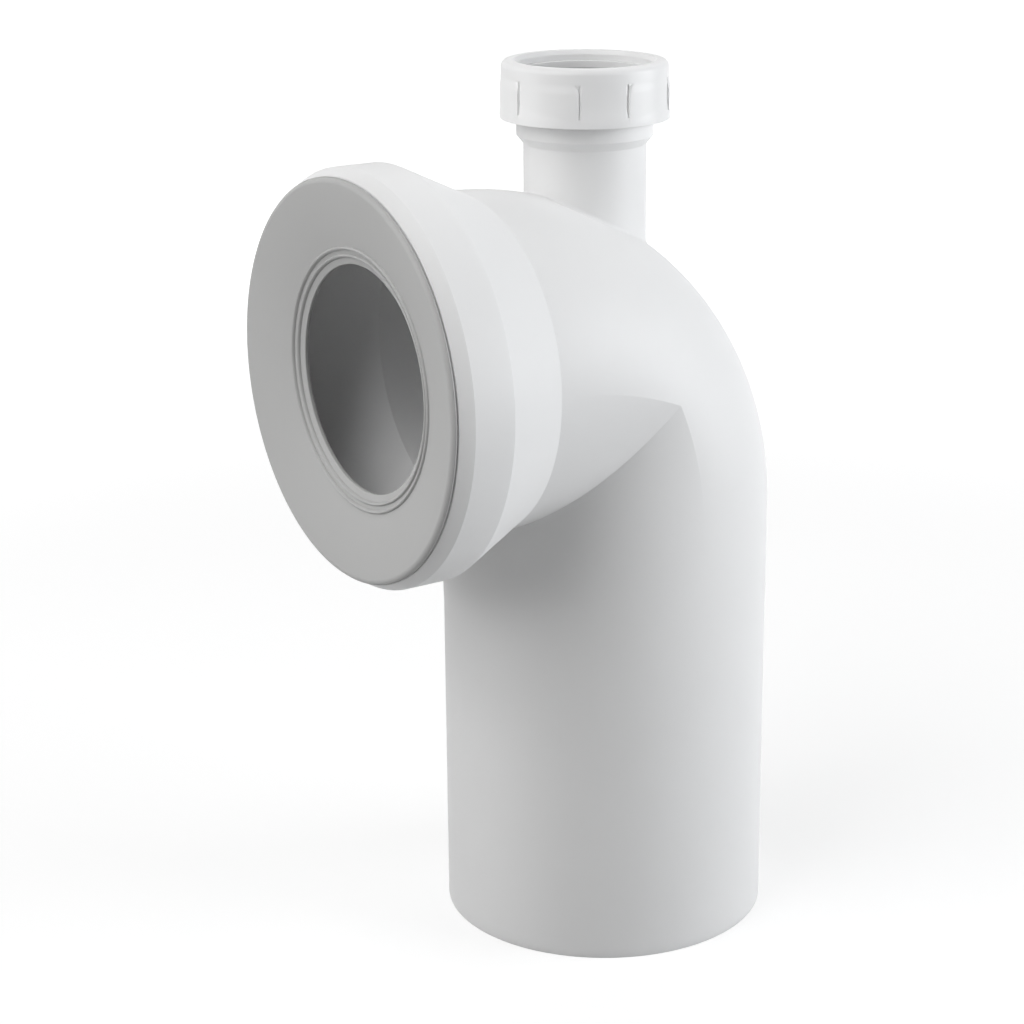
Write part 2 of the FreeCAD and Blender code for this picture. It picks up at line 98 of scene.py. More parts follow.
# Branch
BRANCH_RADIUS = 20.0 * MM
BRANCH_BORE = 17.2 * MM
SOCKET_TOP = BODY_HIGH.z
COLLAR_RADIUS = 22.2 * MM
COLLAR_FOOT = INLET_HEIGHT + 69.4 * MM
COLLAR_SLOPE = 2.7 * MM
SOCKET_FLOOR = COLLAR_FOOT + 0.6 * MM
MOUTH_RADIUS = 21.7 * MM
MOUTH_DEPTH = 5.0 * MM
BRANCH_FILLET = 1.2 * MM

# Nut
NUT_RADIUS = 27.0 * MM
GRIP_HEIGHT = 0.5 * MM
SKIRT_HEIGHT = 3.0 * MM
GRIP_TOP = 13.8 * MM
GRIP_SLOPE = 3.4 * MM
SKIRT_FADE = 3.2 * MM
GRIP_ROUND = 1.6 * MM
CREASE_DEPTH = 0.42 * MM
CREASE_WIDTH = 2.0
HOOK_WIDTH = 4.0
NUT_ROUND = 2.0 * MM
NUT_LIP = 3.3 * MM
NUT_OPENING = 22.0 * MM
OPENING_SLOPE = 1.0 * MM
OPENING_DEPTH = 1.4 * MM
THREAD_ROOT = 24.05 * MM
THREAD_LEAD = 0.7 * MM
GRIP_FIRST = 17.5
GRIP_PITCH = 46.5
NUT_TURN = -22.0
NUT_AROUND = 240

# Angles past a grip's step where the nut's side needs more points
STEP_POINTS = (-2.0, -1.2, -0.6, -0.3, 0.01, 0.4, 0.9, 1.5, 2.2, 3.0, 3.8)

# Pan seal
SEAL_RADIUS = SEAL_HIGH.x
SEAL_FRONT = -SEAL_LOW.y
SEAL_FLANGE = 1.7 * MM
SEAL_EDGE = 1.5 * MM
SEAL_DISH = 5.9 * MM
FACE_INNER = 42.2 * MM
OPENING_FALL = 1.7 * MM
BEAD_RADII = (41.5 * MM, 39.1 * MM)
BEAD_HALF_WIDTH = 0.62 * MM
BEAD_HEIGHT = 0.9 * MM
OPENING_LAND = 1.4 * MM
SEAT_PLAY = 0.25 * MM
SLEEVE_WALL = 3.0 * MM
SLEEVE_LENGTH = 10.0 * MM
SNAP_LENGTH = 3.4 * MM
DISH_THICKNESS = 2.2 * MM

# Washer and ring seal under the nut's lip
WASHER_BORE = 20.6 * MM
RING_BORE = 20.3 * MM
NOSE_RADIUS = 20.66 * MM
RING_PLAY = 0.1 * MM

# Threads of the collar and the nut
PITCH = 2.309 * MM
THREAD_CREST = 23.85 * MM
NUT_THREAD_CREST = RING_HIGH.x + 0.15 * MM
COLLAR_THREAD_HALF = 0.95 * MM
NUT_THREAD_HALF = 0.85 * MM
CREST_HALF = 0.18 * MM
THREAD_START = NUT_LOW.z + 1.2 * MM
COLLAR_THREAD_END = SOCKET_TOP - 1.1 * MM
NUT_THREAD_END = NUT_HIGH.z - NUT_LIP - 3 * MM
THREAD_STEP = 5
THREAD_FADE = 60
THREAD_SUNK = 0.1 * MM

# Surfaces
CLOUD_SCALE = 18
CLOUD_DETAIL = 4
GRAIN_DETAIL = 3
GRAIN_DEPTH = 0.05 * MM
GLOSS_SHIFT = 0.03
PLASTIC_IOR = 1.49
PLASTIC_SPECULAR = 0.35
LIGHT_REACH = 5 * MM

# Camera, as the photograph was taken
CAMERA_PLACE = (0.6547, -0.4709, 0.3970)
CAMERA_TILT = 90 - 17.125
CAMERA_HEADING = 54.675
LENS = 87.5
LENS_SHIFT = (-0.0741, -0.0245)

# Light, backdrop and floor
LIGHT_TARGET = Vector((0, -0.02, 0.16))
LIGHT_DISTANCE = 1.6
AMBIENT = 0.02
WHITE = (1, 1, 1, 1)
FLOOR_HALF = 3.0
FLOOR_COLOUR = (0.4, 0.4, 0.4, 1)
FLOOR_ROUGH = 0.9
FLOOR_WHITE = 0.64
FLOOR_NEAR = 0.4
FLOOR_FAR = 1.2

# Points round a ring, and the distance at which two points are one
AROUND = 192
MERGE = 0.001 * MM


def new_object(name, mesh):
    """Link a mesh to the scene as an object."""
    piece = bpy.data.objects.new(name, mesh)
    bpy.context.scene.collection.objects.link(piece)
    return piece


def shade(mesh, angle=30):
    """Shade a mesh smooth, apart from its edges that are sharper than an angle."""
    mesh.polygons.foreach_set("use_smooth", [True] * len(mesh.polygons))
    mesh.set_sharp_from_angle(angle=math.radians(angle))


def sharpen(mesh, lines):
    """Make the edges of a mesh sharp where they follow lines of points."""
    points = [point for line in lines for point in line]
    tree = KDTree(len(points))
    for i, point in enumerate(points):
        tree.insert(point, i)
    tree.balance()
    near = [tree.find(vertex.co)[2] < 2 * MERGE for vertex in mesh.vertices]
    for edge in mesh.edges:
        start, end = edge.vertices
        if near[start] and near[end]:
            edge.use_edge_sharp = True


def strip(low, high):
    """The faces between two rings of numbered points."""
    count = len(low)
    following = [(j + 1) % count for j in range(count)]
    return [(low[j], low[k], high[k], high[j]) for j, k in enumerate(following)]


def solid(name, points, faces):
    """Make an object from points and faces, with its faces turned outwards."""
    mesh = bpy.data.meshes.new(name)
    mesh.from_pydata(points, [], faces)
    built = bmesh.new()
    built.from_mesh(mesh)
    bmesh.ops.remove_doubles(built, verts=built.verts, dist=MERGE)
    bmesh.ops.recalc_face_normals(built, faces=built.faces)
    if built.calc_volume(signed=True) < 0:
        bmesh.ops.reverse_faces(built, faces=built.faces)
    built.to_mesh(mesh)
    built.free()
    return new_object(name, mesh)


def skin(name, rings, closed=False):
    """Join rings of points, each with as many points, into a skin. An open run of rings is
    capped at both ends, and a closed one is joined end to end."""
    count = len(rings[0])
    points = [point for ring in rings for point in ring]
    numbers = [list(range(i * count, (i + 1) * count)) for i in range(len(rings))]
    faces = [face for low, high in zip(numbers, numbers[1:]) for face in strip(low, high)]
    if closed:
        faces += strip(numbers[-1], numbers[0])
    else:
        faces += [tuple(numbers[0][::-1]), tuple(numbers[-1])]
    return solid(name, points, faces)


def rounded(corners, steps=4):
    """Round the corners of a line of points. Each corner is (along, across, radius), and the
    first and the last one stay as they are."""
    line = []
    for i, (along, across, radius) in enumerate(corners):
        here = Vector((along, across))
        if radius == 0 or i in (0, len(corners) - 1):
            line.append(here)
            continue
        before = (Vector(corners[i - 1][:2]) - here).normalized()
        after = (Vector(corners[i + 1][:2]) - here).normalized()
        half = before.angle(after) / 2
        centre = here + (before + after).normalized() * radius / math.sin(half)
        start = (here + before * radius / math.tan(half) - centre).normalized()
        end = (here + after * radius / math.tan(half) - centre).normalized()
        for step in range(steps + 1):
            line.append(centre + start.slerp(end, step / steps) * radius)
    return line


def full_turn():
    """The angles of a ring's points, in radians."""
    return [2 * math.pi * j / AROUND for j in range(AROUND)]


def branch_ring(radius, height):
    """A ring of points round the branch's axis."""
    return [
        Vector((radius * math.cos(t), BRANCH_Y + radius * math.sin(t), height))
        for t in full_turn()
    ]


def bell_ring(radius, reach):
    """A ring of points round the bell's axis."""
    return [
        Vector((radius * math.cos(t), -reach, INLET_HEIGHT + radius * math.sin(t)))
        for t in full_turn()
    ]


def meeting_angle(radius, turn):
    """How far below the bend's sides a section of the swept bend meets the straight pipes, as an
    angle in radians. The section's own turn along the bend is in radians too."""
    squeeze = math.cos(min(turn, math.pi / 2 - turn))
    return math.asin(BEND_RADIUS * (1 - squeeze) / (1 + squeeze) / radius)


def bent_pipe(name, radius, spigot, bell):
    """A solid bend between a spigot and a bell, and the lines along which its skins meet. The back
    follows a swept pipe. The throat follows the straight pipes, which meet at a mitre. The
    spigot's section is a list of (height, radius) and the bell's a list of (reach, radius)."""
    half = 96
    quarter = 24
    throat = 72
    turns = [math.pi / 4 * i / quarter for i in range(2 * quarter + 1)]
    meets = [meeting_angle(radius, turn) for turn in turns]
    apex = meets[quarter]
    crease_angles = [
        math.pi + apex + (math.pi - 2 * apex) * j / throat for j in range(1, throat)
    ]
    angles = [math.pi * j / half for j in range(half + 1)]
    angles += [math.pi + meets[i] for i in range(1, quarter + 1)]
    angles += crease_angles
    angles += [2 * math.pi - meets[i] for i in range(quarter, 0, -1)]

    points = []

    def add(x, y, z):
        points.append((x, y, z))
        return len(points) - 1

    spigot_rings = [
        [add(r * math.cos(t), r * math.sin(t), height) for t in angles] for height, r in spigot
    ]
    bell_rings = [
        [add(r * math.cos(t), -reach, INLET_HEIGHT + r * math.sin(t)) for t in angles]
        for reach, r in bell
    ]
    back = []
    for turn, meet in zip(turns, meets):
        row = []
        for j in range(half + 1):
            t = meet + (math.pi - 2 * meet) * j / half
            far = BEND_RADIUS + radius * math.sin(t)
            y = -BEND_RADIUS + far * math.cos(turn)
            row.append(add(radius * math.cos(t), y, BEND_HEIGHT + far * math.sin(turn)))
        back.append(row)
    crease = [
        add(radius * math.cos(t), radius * math.sin(t), INLET_HEIGHT + radius * math.sin(t))
        for t in crease_angles
    ]

    def pipe_end(rows):
        """The ring where a straight pipe ends, at the bend's back and at the throat."""
        left = [rows[i][half] for i in range(1, quarter + 1)]
        right = [rows[i][0] for i in range(quarter, 0, -1)]
        return rows[0] + left + crease + right

    low_end = pipe_end(back)
    high_end = pipe_end(back[::-1])
    rings = spigot_rings + [low_end]
    faces = [face for low, high in zip(rings, rings[1:]) for face in strip(low, high)]
    rings = [high_end] + bell_rings
    faces += [face for low, high in zip(rings, rings[1:]) for face in strip(low, high)]
    faces += [face for low, high in zip(back, back[1:]) for face in strip(low, high)[:-1]]
    faces += [tuple(spigot_rings[0][::-1]), tuple(bell_rings[-1])]
    edges = [[Vector(points[i]) for i in ring[half:] + ring[:1]] for ring in (low_end, high_end)]
    return solid(name, points, faces), edges


def combine(piece, other, operation):
    """Join two closed pieces, or cut one from the other, and keep the first."""
    change = piece.modifiers.new(operation, "BOOLEAN")
    change.operation = operation
    change.solver = "MANIFOLD"
    change.object = other
    bpy.context.view_layer.update()
    seen = piece.evaluated_get(bpy.context.evaluated_depsgraph_get())
    result = bpy.data.meshes.new_from_object(seen)
    piece.modifiers.clear()
    piece.data = result
    bpy.data.objects.remove(other)
    return piece


def bend_top(x, y):
    """The height of the bend's outer skin over a point of the plan."""
    distance = BEND_RADIUS + math.sqrt(PIPE_RADIUS**2 - x**2)
    return BEND_HEIGHT + math.sqrt(distance**2 - (y + BEND_RADIUS) ** 2)


def branch_outside():
    """The branch, solid inside, with a small fillet where it leaves the bend."""
    foot = INLET_HEIGHT + BRANCH_RADIUS
    sunk = 0.03 * MM
    steps = 6

    def on_bend(radius):
        """A ring round the branch's axis that lies on the bend's skin, sunk a little into it."""
        plan = [(radius * math.cos(t), BRANCH_Y + radius * math.sin(t)) for t in full_turn()]
        return [Vector((x, y, bend_top(x, y) - sunk)) for x, y in plan]

    starts = on_bend(BRANCH_RADIUS + BRANCH_FILLET)
    corners = on_bend(BRANCH_RADIUS)
    ends = [corner + Vector((0, 0, BRANCH_FILLET)) for corner in corners]
    buried = [start - Vector((0, 0, WALL / 3)) for start in starts]
    rings = [branch_ring(BRANCH_RADIUS - WALL, foot), buried]
    for i in range(steps + 1):
        share = i / steps
        rings.append(
            [
                start * (1 - share) ** 2 + corner * 2 * share * (1 - share) + end * share**2
                for start, corner, end in zip(starts, corners, ends)
            ]
        )
    section = rounded(
        [
            (COLLAR_FOOT - 3 * COLLAR_SLOPE, BRANCH_RADIUS, 0),
            (COLLAR_FOOT - COLLAR_SLOPE, BRANCH_RADIUS, 0.8 * MM),
            (COLLAR_FOOT, COLLAR_RADIUS, 0.4 * MM),
            (SOCKET_TOP, COLLAR_RADIUS, 0.15 * MM),
            (SOCKET_TOP, SOCKET_RADIUS, 0),
        ]
    )
    rings += [branch_ring(across, along) for along, across in section]
    return skin("branch_outside", rings)


def branch_inside():
    """The hollow of the branch, with a margin past its mouth."""
    margin = 5 * MM
    section = [
        (INLET_HEIGHT, BRANCH_BORE),
        (SOCKET_FLOOR, BRANCH_BORE),
        (SOCKET_FLOOR, SOCKET_RADIUS),
        (SOCKET_TOP - MOUTH_DEPTH, SOCKET_RADIUS),
        (SOCKET_TOP, MOUTH_RADIUS),
        (SOCKET_TOP + margin, MOUTH_RADIUS),
    ]
    return skin("branch_inside", [branch_ring(across, along) for along, across in section])


def connector():
    """The white moulding."""
    edge = 0.35 * MM
    band_end = RIM_REACH - CHAMFER_LENGTH
    band_start = band_end - BAND_LENGTH
    cone_start = BEND_RADIUS + THROAT_LAND
    spigot = rounded(
        [
            (0, SPIGOT_RADIUS - WALL / 2, 0),
            (0, SPIGOT_RADIUS, edge),
            (SPIGOT_LENGTH, SPIGOT_RADIUS, 0),
            (SPIGOT_LENGTH + SPIGOT_EASE, PIPE_RADIUS, 0),
        ]
    )
    bell = rounded(
        [
            (cone_start - 0.2 * MM, PIPE_RADIUS, 0),
            (cone_start, PIPE_RADIUS, 0.3 * MM),
            (band_start, BELL_RADIUS, 0.6 * MM),
            (band_end, BELL_RADIUS, 0.4 * MM),
            (RIM_REACH, RIM_RADIUS, 0.3 * MM),
            (RIM_REACH, KEEPER_RADIUS, 0),
        ]
    )
    body, outer_edges = bent_pipe("connector", PIPE_RADIUS, spigot, bell)

    # The cone starts further out inside than outside, so that its wall keeps its thickness
    margin = 5 * MM
    bore = [
        (-margin, BORE_RADIUS + edge),
        (0, BORE_RADIUS + edge),
        (edge, BORE_RADIUS),
    ]
    bell_hollow = rounded(
        [
            (cone_start + CONE_SHIFT, BORE_RADIUS, 0),
            (band_start + CONE_SHIFT, BELL_RADIUS - WALL, 1.5 * MM),
            (RIM_REACH - KEEPER_LENGTH, BELL_RADIUS - WALL, 0.3 * MM),
            (RIM_REACH - KEEPER_LENGTH, KEEPER_RADIUS, 0.2 * MM),
            (RIM_REACH + margin, KEEPER_RADIUS, 0),
        ]
    )
    inside, inner_edges = bent_pipe("bend_inside", BORE_RADIUS, bore, bell_hollow)
    combine(body, branch_outside(), "UNION")
    combine(body, inside, "DIFFERENCE")
    combine(body, branch_inside(), "DIFFERENCE")
    shade(body.data, 25)
    sharpen(body.data, outer_edges + inner_edges)
    return body


def bead(radius, foot, slope):
    """The section of one raised bead on the dished face, from outside to inside."""
    steps = 8
    points = []
    for i in range(steps + 1):
        turn = math.pi * i / steps
        across = radius + BEAD_HALF_WIDTH * math.cos(turn)
        along = foot - (FACE_INNER - across) * slope + BEAD_HEIGHT * math.sin(turn)
        points.append((along, across, 0))
    return points


def pan_seal():
    """The grey rubber seal, turned round the bell's axis."""
    keeper = RIM_REACH - KEEPER_LENGTH
    band = BELL_RADIUS - WALL
    neck = KEEPER_RADIUS - SEAT_PLAY
    sleeve = neck - SLEEVE_WALL
    flange = SEAL_FRONT - SEAL_FLANGE
    foot = SEAL_FRONT - SEAL_DISH
    slope = SEAL_DISH / (SEAL_RADIUS - FACE_INNER)
    behind_face = SEAL_FRONT - slope * (SEAL_RADIUS - sleeve) - DISH_THICKNESS
    sleeve_end = keeper - SLEEVE_LENGTH
    section = [
        (flange, neck + 1 * MM, 0),
        (flange, SEAL_RADIUS, 0.2 * MM),
        (SEAL_FRONT, SEAL_RADIUS, SEAL_EDGE),
        (foot, FACE_INNER, 0),
    ]
    for radius in BEAD_RADII:
        section += bead(radius, foot, OPENING_FALL / (FACE_INNER - OPENING_RADIUS))
    mouth = foot - OPENING_FALL
    section += [
        (mouth, OPENING_RADIUS, 0.3 * MM),
        (mouth - OPENING_LAND, OPENING_RADIUS, 0.3 * MM),
        (behind_face, sleeve, 0.8 * MM),
        (sleeve_end, sleeve, 0.3 * MM),
        (sleeve_end, neck, 0.3 * MM),
        (keeper - SNAP_LENGTH, neck, 0.2 * MM),
        (keeper - SNAP_LENGTH, band - SEAT_PLAY, 0.6 * MM),
        (keeper, band - SEAT_PLAY, 0.3 * MM),
        (keeper, neck, 0),
    ]
    rings = [bell_ring(across, along) for along, across in rounded(section)]
    piece = skin("rubber_pan_seal", rings, closed=True)
    shade(piece.data)
    return piece


def grip(turn):
    """At an angle from the nut's front line: how far its grips stand out, how deep the crease at
    the foot of a grip's step is, and the angle past the last step."""
    side = abs((turn + 180) % 360 - 180)
    side = min(side, 180 - side)
    past = side - GRIP_FIRST
    ahead = [step - past for step in (0, GRIP_PITCH) if past < step]
    crease = CREASE_DEPTH * max(0.0, 1 - min(ahead, default=GRIP_PITCH) / CREASE_WIDTH)
    if past < 0:
        return 0.0, crease, GRIP_PITCH
    past %= GRIP_PITCH
    return GRIP_HEIGHT * (1 - past / GRIP_PITCH), crease, past


def corner_drop(past):
    """How far the rounded corner of a grip's top has fallen, at an angle past the grip's step."""
    run = min(GRIP_ROUND, math.radians(past) * NUT_RADIUS)
    return GRIP_ROUND - math.sqrt(GRIP_ROUND**2 - (GRIP_ROUND - run) ** 2)


def nut_turns():
    """The angles of the nut's points, closer together at the grips' steps."""
    turns = {round(360 / NUT_AROUND * i, 3) for i in range(NUT_AROUND)}
    for half in (0, 180):
        for side in (-1, 1):
            for step in range(2):
                edge = GRIP_FIRST + step * GRIP_PITCH
                for past in STEP_POINTS:
                    turns.add(round((half + side * (edge + past)) % 360, 3))
    return sorted(turns)


def branch_nut():
    """The compression nut, with its stepped grips."""
    turns = nut_turns()
    grips = [grip(turn) for turn in turns]
    angles = [math.radians(turn + NUT_TURN) for turn in turns]
    foot = NUT_LOW.z
    top = NUT_HIGH.z - foot
    soft = 0.12 * MM
    proud = NUT_RADIUS + GRIP_HEIGHT
    fade_start = SKIRT_HEIGHT / 3
    fade_rise = SKIRT_HEIGHT + SKIRT_FADE
    steps = 8

    def ring(radius, height):
        """A ring with its own radius and height at each angle."""
        return [
            Vector((r * math.cos(a), BRANCH_Y + r * math.sin(a), foot + z))
            for a, r, z in zip(angles, radius, height)
        ]

    def level(radius, height):
        """A plain round ring."""
        return ring([radius] * len(angles), [height] * len(angles))

    def side_ring(height, creased):
        """A ring of the nut's side, where the skirt fades into the body between the grips."""
        share = min(max((height - fade_start) / fade_rise, 0), 1)
        body = NUT_RADIUS + GRIP_HEIGHT * (1 + math.cos(math.pi * share)) / 2
        radius = [
            max(body, NUT_RADIUS + out) - (crease if creased else 0) for out, crease, past in grips
        ]
        return ring(radius, [height] * len(radius))

    def grip_top(i):
        """A ring of the grips' tops, where the creases turn into their hooks and end."""
        fade = (1 + math.cos(math.pi * i / steps)) / 2
        # The shares of the crease's and the hook's depth that this ring has
        creased = min(1, (steps - i) / 2)
        hooked = max(0, i - steps + 3) / 2 if i < steps else 0
        radius = []
        height = []
        for out, crease, past in grips:
            hook = CREASE_DEPTH * max(0, 1 - past / HOOK_WIDTH)
            radius.append(NUT_RADIUS + out * fade - crease * creased - hook * hooked)
            height.append(GRIP_TOP - corner_drop(past) - GRIP_SLOPE * (1 - i / steps))
        return ring(radius, height)

    rings = [
        level(THREAD_ROOT + THREAD_LEAD, 0),
        level(proud - soft, 0),
        level(proud, soft),
        level(proud, fade_start),
    ]
    heights = [fade_start + fade_rise * i / steps for i in range(1, steps + 1)]
    rings += [side_ring(z, False) for z in heights if z < SKIRT_HEIGHT]
    rings += [side_ring(SKIRT_HEIGHT, False), side_ring(SKIRT_HEIGHT + soft, True)]
    rings += [side_ring(z, True) for z in heights if z > SKIRT_HEIGHT + soft]
    rings += [grip_top(i) for i in range(steps + 1)]
    section = rounded(
        [
            (GRIP_TOP + soft, NUT_RADIUS, 0),
            (top, NUT_RADIUS, NUT_ROUND),
            (top, NUT_OPENING + OPENING_SLOPE, 0.2 * MM),
            (top - OPENING_DEPTH, NUT_OPENING, 0.2 * MM),
            (top - NUT_LIP, NUT_OPENING, 0.1 * MM),
            (top - NUT_LIP, THREAD_ROOT, 0),
            (THREAD_LEAD, THREAD_ROOT, 0),
        ],
        steps=6,
    )
    rings += [level(across, along) for along, across in section]
    piece = skin("compression_nut", rings, closed=True)
    shade(piece.data)
    return piece


def turned_ring(name, section):
    """A ring round the branch's axis. Each corner is (height, radius, rounding)."""
    rings = [branch_ring(across, along) for along, across in rounded(section)]
    piece = skin(name, rings, closed=True)
    shade(piece.data)
    return piece


def slip_washer():
    """The plain washer under the nut's lip."""
    low, high, radius = WASHER_LOW.z, WASHER_HIGH.z, WASHER_HIGH.x
    section = [
        (low, WASHER_BORE, 0),
        (low, radius, 0.2 * MM),
        (high, radius, 0.2 * MM),
        (high, WASHER_BORE, 0.2 * MM),
        (low + 0.1 * MM, WASHER_BORE, 0),
    ]
    return turned_ring("washer", section)


def ring_seal():
    """The rubber ring in the branch's mouth, with its nose in the mouth's cone."""
    low, high, radius = RING_LOW.z, RING_HIGH.z, RING_HIGH.x
    section = [
        (low, RING_BORE, 0),
        (low, NOSE_RADIUS, 0.1 * MM),
        (SOCKET_TOP, MOUTH_RADIUS - RING_PLAY, 0.1 * MM),
        (SOCKET_TOP, radius, 0.3 * MM),
        (high, radius, 0.3 * MM),
        (high, RING_BORE, 0.2 * MM),
        (low + 0.1 * MM, RING_BORE, 0),
    ]
    return turned_ring("ring_seal", section)


def thread(name, root, crest, root_half, end, shift=0.0):
    """A helical ridge round the branch's axis, fading out at both ends. Its foot is sunk a little
    into the wall that carries it. The shift turns it round the axis, in degrees."""
    count = int((end - THREAD_START) / PITCH * 360 / THREAD_STEP)
    fade = THREAD_FADE / THREAD_STEP
    buried = root + math.copysign(THREAD_SUNK, root - crest)
    least = 0.02
    rings = []
    for i in range(count + 1):
        height = THREAD_START + PITCH * i * THREAD_STEP / 360
        grow = min(1.0, i / fade, (count - i) / fade)
        tip = root + (crest - root) * max(grow, least)
        turn = math.radians(i * THREAD_STEP + shift)
        section = (
            (buried, -root_half),
            (root, -root_half),
            (tip, -CREST_HALF),
            (tip, CREST_HALF),
            (root, root_half),
            (buried, root_half),
        )
        rings.append(
            [
                Vector((r * math.cos(turn), BRANCH_Y + r * math.sin(turn), height + z))
                for r, z in section
            ]
        )
    piece = skin(name, rings)
    shade(piece.data)
    return piece


def set_inputs(node, values):
    """Set a node's inputs by their names."""
    for name, value in values.items():
        node.inputs[name].default_value = value
    return node


def plastic(name, colour, shift, rough, grain, bump, translucent=0.0):
    """Moulded plastic or rubber: a faint cloudiness in its colour and gloss, and a fine grain."""
    material = bpy.data.materials.new(name)
    material.use_nodes = True
    nodes, links = material.node_tree.nodes, material.node_tree.links
    shader = nodes["Principled BSDF"]
    place = nodes.new("ShaderNodeTexCoord")
    clouds = nodes.new("ShaderNodeTexNoise")
    set_inputs(clouds, {"Scale": CLOUD_SCALE, "Detail": CLOUD_DETAIL})
    links.new(place.outputs["Object"], clouds.inputs["Vector"])
    tint = nodes.new("ShaderNodeValToRGB")
    tint.color_ramp.elements[0].position = 0.3
    tint.color_ramp.elements[0].color = (*[c * (1 - shift) for c in colour], 1)
    tint.color_ramp.elements[1].position = 0.7
    tint.color_ramp.elements[1].color = (*[min(c * (1 + shift), 1) for c in colour], 1)
    links.new(clouds.outputs["Fac"], tint.inputs["Fac"])
    links.new(tint.outputs["Color"], shader.inputs["Base Color"])
    gloss = nodes.new("ShaderNodeMapRange")
    set_inputs(gloss, {"To Min": rough - GLOSS_SHIFT, "To Max": rough + GLOSS_SHIFT})
    links.new(clouds.outputs["Fac"], gloss.inputs["Value"])
    links.new(gloss.outputs["Result"], shader.inputs["Roughness"])
    fine = nodes.new("ShaderNodeTexNoise")
    set_inputs(fine, {"Scale": grain, "Detail": GRAIN_DETAIL})
    links.new(place.outputs["Object"], fine.inputs["Vector"])
    relief = nodes.new("ShaderNodeBump")
    set_inputs(relief, {"Strength": bump, "Distance": GRAIN_DEPTH})
    links.new(fine.outputs["Fac"], relief.inputs["Height"])
    links.new(relief.outputs["Normal"], shader.inputs["Normal"])
    constants = {
        "IOR": PLASTIC_IOR,
        "Specular IOR Level": PLASTIC_SPECULAR,
        "Subsurface Weight": translucent,
        "Subsurface Radius": (1, 1, 1),
        "Subsurface Scale": LIGHT_REACH,
    }
    set_inputs(shader, constants)
    return material


def finish_piece(piece, body, slot, material, *nodes):
    """Give a piece its material, the body that it rides on and the nodes that it replaces."""
    piece.data.materials.clear()
    piece.data.materials.append(material)
    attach(piece, body)
    if nodes:
        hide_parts(*nodes)


def softbox(name, azimuth, elevation, size, power, colour=(1, 1, 1)):
    """A square soft light that faces the object, with its side in metres and its power in watts.
    Its azimuth is counted from the X axis."""
    lamp = bpy.data.lights.new(name, "AREA")
    lamp.shape = "SQUARE"
    lamp.size = size
    lamp.energy = power
    lamp.color = colour
    light = bpy.data.objects.new(name, lamp)
    bpy.context.scene.collection.objects.link(light)
    turn, lift = math.radians(azimuth), math.radians(elevation)
    level = math.cos(lift)
    outward = Vector((level * math.cos(turn), level * math.sin(turn), math.sin(lift)))
    light.location = LIGHT_TARGET + outward * LIGHT_DISTANCE
    light.rotation_euler = outward.to_track_quat("Z", "Y").to_euler()


def camera():
    """The photograph's camera."""
    lens = bpy.data.cameras.new("camera")
    lens.lens = LENS
    lens.sensor_width = 36
    lens.shift_x, lens.shift_y = LENS_SHIFT
    seen = bpy.data.objects.new("camera", lens)
    bpy.context.scene.collection.objects.link(seen)
    seen.location = CAMERA_PLACE
    seen.rotation_euler = (math.radians(CAMERA_TILT), 0, math.radians(CAMERA_HEADING))
    bpy.context.scene.camera = seen


def seen_directly(nodes, links):
    """A socket that is 1 where the camera sees a surface directly, in a gloss or through glass."""
    path = nodes.new("ShaderNodeLightPath")
    first = nodes.new("ShaderNodeMath")
    first.operation = "MAXIMUM"
    links.new(path.outputs["Is Camera Ray"], first.inputs[0])
    links.new(path.outputs["Is Glossy Ray"], first.inputs[1])
    second = nodes.new("ShaderNodeMath")
    second.operation = "MAXIMUM"
    links.new(first.outputs["Value"], second.inputs[0])
    links.new(path.outputs["Is Transmission Ray"], second.inputs[1])
    return second.outputs["Value"]


def world():
    """A plain white background, and a soft even light on the object."""
    sky = bpy.data.worlds.new("studio")
    sky.use_nodes = True
    bpy.context.scene.world = sky
    nodes, links = sky.node_tree.nodes, sky.node_tree.links
    ambient = set_inputs(nodes["Background"], {"Color": WHITE, "Strength": AMBIENT})
    backdrop = nodes.new("ShaderNodeBackground")
    set_inputs(backdrop, {"Color": WHITE, "Strength": 1})
    blend = nodes.new("ShaderNodeMixShader")
    links.new(seen_directly(nodes, links), blend.inputs["Fac"])
    links.new(ambient.outputs["Background"], blend.inputs[1])
    links.new(backdrop.outputs["Background"], blend.inputs[2])
    links.new(blend.outputs["Shader"], nodes["World Output"].inputs["Surface"])


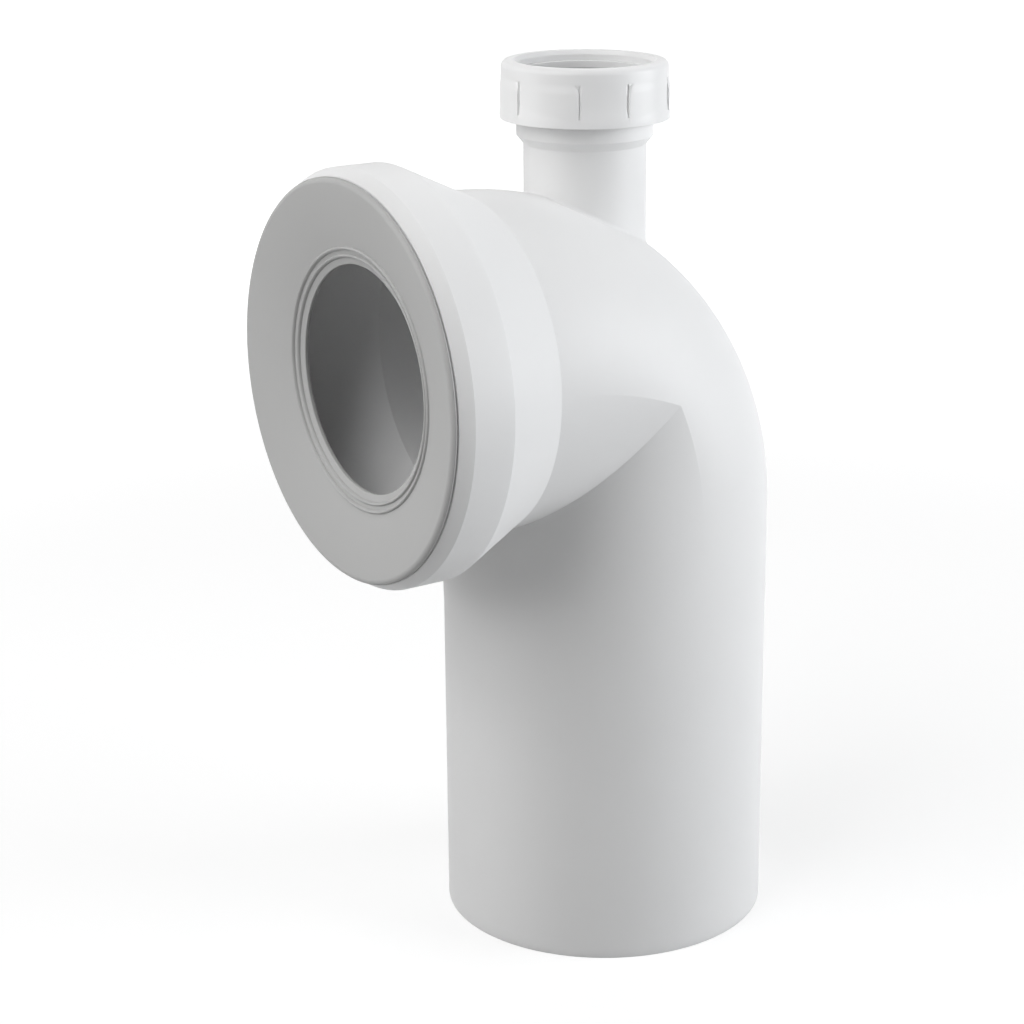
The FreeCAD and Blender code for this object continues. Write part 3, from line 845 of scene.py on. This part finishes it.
def floor():
    """A plain pale floor that keeps a soft shadow. It glows for what sees it directly, more with
    the distance from the object, so that it meets the white backdrop without an edge."""
    half = FLOOR_HALF
    corners = [(-half, -half, 0), (half, -half, 0), (half, half, 0), (-half, half, 0)]
    mesh = bpy.data.meshes.new("floor")
    mesh.from_pydata(corners, [], [(0, 1, 2, 3)])
    ground = new_object("floor", mesh)
    material = bpy.data.materials.new("floor")
    material.use_nodes = True
    nodes, links = material.node_tree.nodes, material.node_tree.links
    plain = set_inputs(
        nodes["Principled BSDF"], {"Base Color": FLOOR_COLOUR, "Roughness": FLOOR_ROUGH}
    )
    glow = nodes.new("ShaderNodeEmission")
    place = nodes.new("ShaderNodeNewGeometry")
    distance = nodes.new("ShaderNodeVectorMath")
    distance.operation = "LENGTH"
    links.new(place.outputs["Position"], distance.inputs[0])
    fade = nodes.new("ShaderNodeMapRange")
    fade.interpolation_type = "SMOOTHSTEP"
    reach = {"From Min": FLOOR_NEAR, "From Max": FLOOR_FAR, "To Min": FLOOR_WHITE, "To Max": 1}
    set_inputs(fade, reach)
    links.new(distance.outputs["Value"], fade.inputs["Value"])
    share = nodes.new("ShaderNodeMath")
    share.operation = "MULTIPLY"
    links.new(fade.outputs["Result"], share.inputs[1])
    links.new(seen_directly(nodes, links), share.inputs[0])
    links.new(share.outputs["Value"], glow.inputs["Strength"])
    total = nodes.new("ShaderNodeAddShader")
    links.new(plain.outputs["BSDF"], total.inputs[0])
    links.new(glow.outputs["Emission"], total.inputs[1])
    links.new(total.outputs["Shader"], nodes["Material Output"].inputs["Surface"])
    mesh.materials.append(material)


# Each surface's colour, cloudiness, roughness, scale of the grain and its relief
white = plastic("white_plastic", (0.80, 0.80, 0.80), 0.01, 0.48, 900, 0.05, translucent=0.4)
nut_white = plastic("nut_plastic", (0.82, 0.82, 0.82), 0.01, 0.34, 900, 0.05)
grey = plastic("grey_rubber", (0.44, 0.44, 0.436), 0.02, 0.5, 1400, 0.1)
pale = plastic("washer_plastic", (0.76, 0.76, 0.76), 0.01, 0.45, 900, 0.08)
dark = plastic("dark_rubber", (0.5, 0.5, 0.5), 0.03, 0.55, 1400, 0.1)

finish_piece(connector(), "connector", "white_plastic", white, "connector_body")
finish_piece(pan_seal(), "connector", "grey_rubber", grey, "pan_seal")
finish_piece(branch_nut(), "nut", "nut_plastic", nut_white, "branch_nut")
finish_piece(slip_washer(), "washer", "washer_plastic", pale, "slip_washer")
finish_piece(ring_seal(), "connector", "dark_rubber", dark, "branch_seal")
collar_thread = thread(
    "collar_thread", COLLAR_RADIUS, THREAD_CREST, COLLAR_THREAD_HALF, COLLAR_THREAD_END
)
finish_piece(collar_thread, "connector", "white_plastic", white)
nut_thread = thread(
    "nut_thread", THREAD_ROOT, NUT_THREAD_CREST, NUT_THREAD_HALF, NUT_THREAD_END, shift=180
)
finish_piece(nut_thread, "nut", "nut_plastic", nut_white)

camera()
world()
floor()

# Each light's azimuth, elevation, side, power and colour
softbox("front_key", -81, 34, 1.2, 13.2)
softbox("top_key", -93, 66, 1.2, 8.8)
softbox("front_fill", -120, 8, 1.1, 5.3)
softbox("side_key", 48, 7, 1.2, 29.5, (0.965, 0.982, 1.0))
softbox("back_light", 137, 48, 1.1, 4.4)

bpy.context.scene.view_settings.view_transform = "Standard"
